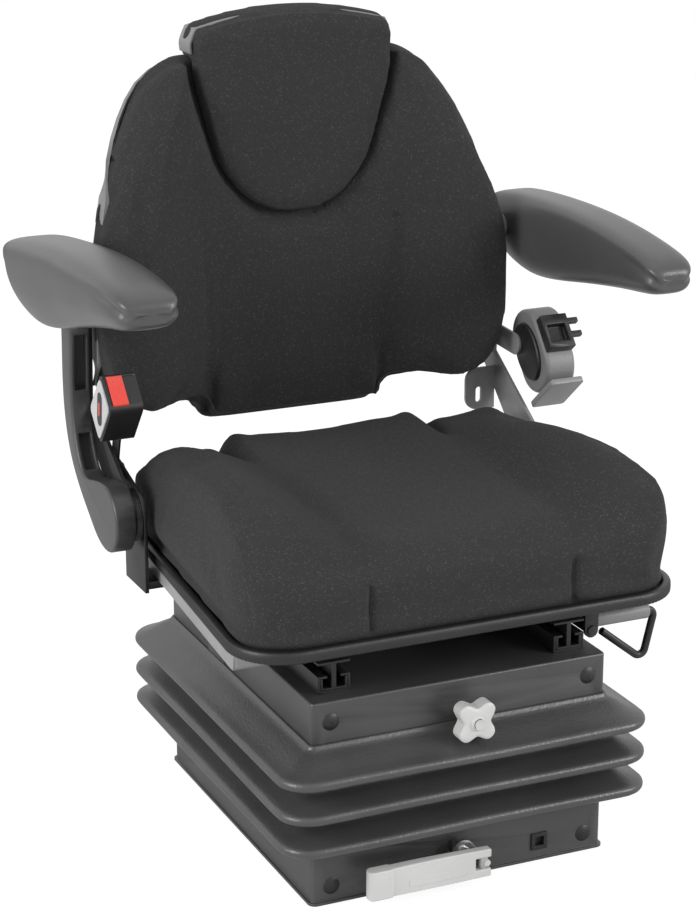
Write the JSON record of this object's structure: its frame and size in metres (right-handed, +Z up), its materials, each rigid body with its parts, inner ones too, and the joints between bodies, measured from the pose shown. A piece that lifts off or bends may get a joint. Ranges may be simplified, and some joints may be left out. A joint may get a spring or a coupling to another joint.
{
  "type": "tractor seat",
  "caption": "Suspended tractor seat with rubber bellows, fore and aft slides, reclining back with lifting extension, folding armrests, belt buckle and belt retractor.",
  "frame": {"origin": "centre of the base's underside, where the seat is bolted down", "axes": "+Z up, the sitter faces -Y, +X to the right as seen from the front"},
  "size_m": [0.612, 0.4975, 0.822],
  "materials": {
    "dark_steel": "satin dark grey paint",
    "black_steel": "satin black paint",
    "light_steel": "light grey paint",
    "zinc_steel": "zinc plated",
    "spring_steel": "black paint",
    "bellows_rubber": "matte grey rubber",
    "black_plastic": "fine grain",
    "grey_plastic": "fine grain",
    "armrest_skin": "satin moulded skin",
    "pale_plastic": "off-white satin",
    "red_plastic": "red press button",
    "seat_fabric": "dark charcoal woven cloth"
  },
  "bodies": {
    "base": {"lower_housing": "dark_steel", "lower_plugs": "black_plastic", "weight_indicator": "black_plastic", "lower_hinge_shaft": "zinc_steel", "rubber_buffers": "bellows_rubber", "damper_tube": "black_steel", "suspension_spring": "spring_steel", "bellows": "bellows_rubber"},
    "suspension": {"upper_housing": "dark_steel", "upper_plugs": "black_plastic", "upper_hinge_shaft": "zinc_steel", "damper_piston": "zinc_steel", "lower_rails": "black_steel"},
    "scissor_outer": {"scissor_outer_arms": "black_steel", "scissor_centre_bolts": "zinc_steel"},
    "scissor_inner": {"scissor_inner_arms": "black_steel"},
    "upper_rollers": {"upper_rollers": "black_plastic"},
    "lower_rollers": {"lower_rollers": "black_plastic"},
    "height_knob": {"height_knob": "pale_plastic", "height_knob_button": "pale_plastic", "height_spindle": "zinc_steel"},
    "weight_crank": {"crank_hub": "zinc_steel", "crank_spindle": "zinc_steel"},
    "crank_arm": {"crank_arm": "pale_plastic", "crank_pin": "zinc_steel"},
    "seat": {"upper_rails": "black_steel", "seat_frame": "black_steel", "seat_pan": "light_steel", "pan_trim": "black_plastic", "seat_cushion": "seat_fabric", "left_bracket": "black_steel", "right_bracket": "light_steel", "recline_bolts": "zinc_steel", "buckle_anchor_bolt": "zinc_steel"},
    "slide_lever": {"slide_lever": "black_steel", "slide_lever_grip": "grey_plastic"},
    "recline_lever": {"recline_lever": "black_steel", "recline_lever_grip": "black_plastic"},
    "backrest": {"left_side_plate": "black_steel", "right_side_plate": "light_steel", "left_side_cover": "grey_plastic", "back_screws": "zinc_steel", "backrest_shell": "grey_plastic", "backrest_cushion": "seat_fabric", "guide_sleeves": "black_plastic", "retractor_case": "grey_plastic", "retractor_cover": "black_plastic", "retractor_foot": "light_steel", "belt_guide": "black_plastic", "retractor_bracket": "light_steel"},
    "extension": {"extension_cushion": "seat_fabric", "extension_shell": "grey_plastic", "extension_guide_rods": "zinc_steel"},
    "left_armrest": {"left_armrest": "armrest_skin"},
    "right_armrest": {"right_armrest": "armrest_skin"},
    "buckle": {"buckle_case": "black_plastic", "buckle_side_plate": "pale_plastic", "buckle_stalk": "black_plastic"},
    "buckle_button": {"buckle_button": "red_plastic"}
  },
  "joints": [
    {"name": "suspension_travel", "type": "slide", "parent": "base", "child": "suspension", "axis": [0, 0, 1], "range_m": [-0.07, 0], "stiffness_N_per_m": 6000, "springref_m": 0.08, "deforming": ["bellows", "suspension_spring"]},
    {"name": "scissor_outer_swing", "type": "hinge", "parent": "base", "child": "scissor_outer", "pos_m": [0, 0.15, 0.03], "axis": [-1, 0, 0], "range_deg": [-14, 1]},
    {"name": "scissor_inner_swing", "type": "hinge", "parent": "suspension", "child": "scissor_inner", "pos_m": [0, 0.15, 0.19], "axis": [1, 0, 0], "range_deg": [-14, 1]},
    {"name": "upper_rollers_turn", "type": "hinge", "parent": "scissor_outer", "child": "upper_rollers", "pos_m": [0, -0.13862, 0.19], "axis": [1, 0, 0], "continuous": true},
    {"name": "lower_rollers_turn", "type": "hinge", "parent": "scissor_inner", "child": "lower_rollers", "pos_m": [0, -0.13862, 0.03], "axis": [1, 0, 0], "continuous": true},
    {"name": "height_knob_turn", "type": "hinge", "parent": "suspension", "child": "height_knob", "pos_m": [0, -0.2, 0.1785], "axis": [0, 1, 0], "continuous": true},
    {"name": "weight_crank_turn", "type": "hinge", "parent": "base", "child": "weight_crank", "pos_m": [-0.004, -0.2, 0.034], "axis": [0, -1, 0], "range_deg": [0, 180]},
    {"name": "crank_arm_fold", "type": "hinge", "parent": "weight_crank", "child": "crank_arm", "pos_m": [0.01, -0.2195, 0.027], "axis": [0, 0, 1], "range_deg": [0, 90]},
    {"name": "fore_aft_slide", "type": "slide", "parent": "suspension", "child": "seat", "axis": [0, -1, 0], "range_m": [-0.075, 0.075]},
    {"name": "slide_lever_lift", "type": "hinge", "parent": "seat", "child": "slide_lever", "pos_m": [0.1535, -0.143, 0.23], "axis": [0, -1, 0], "range_deg": [0, 10], "stiffness_Nm_per_rad": 2.5, "springref_deg": -8.59},
    {"name": "recline_lever_lift", "type": "hinge", "parent": "seat", "child": "recline_lever", "pos_m": [0.243, 0.105, 0.32], "axis": [-1, 0, 0], "range_deg": [0, 20], "stiffness_Nm_per_rad": 2, "springref_deg": -11.46},
    {"name": "backrest_recline", "type": "hinge", "parent": "seat", "child": "backrest", "pos_m": [0, 0.105, 0.32], "axis": [-1, 0, 0], "range_deg": [-6, 20]},
    {"name": "extension_lift", "type": "slide", "parent": "backrest", "child": "extension", "axis": [0, 0, 1], "range_m": [0, 0.06]},
    {"name": "left_armrest_fold", "type": "hinge", "parent": "backrest", "child": "left_armrest", "pos_m": [-0.25, 0.217, 0.546], "axis": [-1, 0, 0], "range_deg": [0, 95]},
    {"name": "right_armrest_fold", "type": "hinge", "parent": "backrest", "child": "right_armrest", "pos_m": [0.25, 0.217, 0.558], "axis": [-1, 0, 0], "range_deg": [0, 95]},
    {"name": "buckle_swing", "type": "hinge", "parent": "seat", "child": "buckle", "pos_m": [-0.2316, 0.15659, 0.35226], "axis": [1, 0, 0], "range_deg": [0, 25]},
    {"name": "buckle_button_press", "type": "slide", "parent": "buckle", "child": "buckle_button", "axis": [0, 0.454, -0.891], "range_m": [0, 0.004], "stiffness_N_per_m": 800, "springref_m": -0.001}
  ],
  "couplings": [
    {"joint": "scissor_outer_swing", "follows": "suspension_travel", "rad_per_m": 3.2852},
    {"joint": "scissor_inner_swing", "follows": "suspension_travel", "rad_per_m": 3.2852}
  ]
}
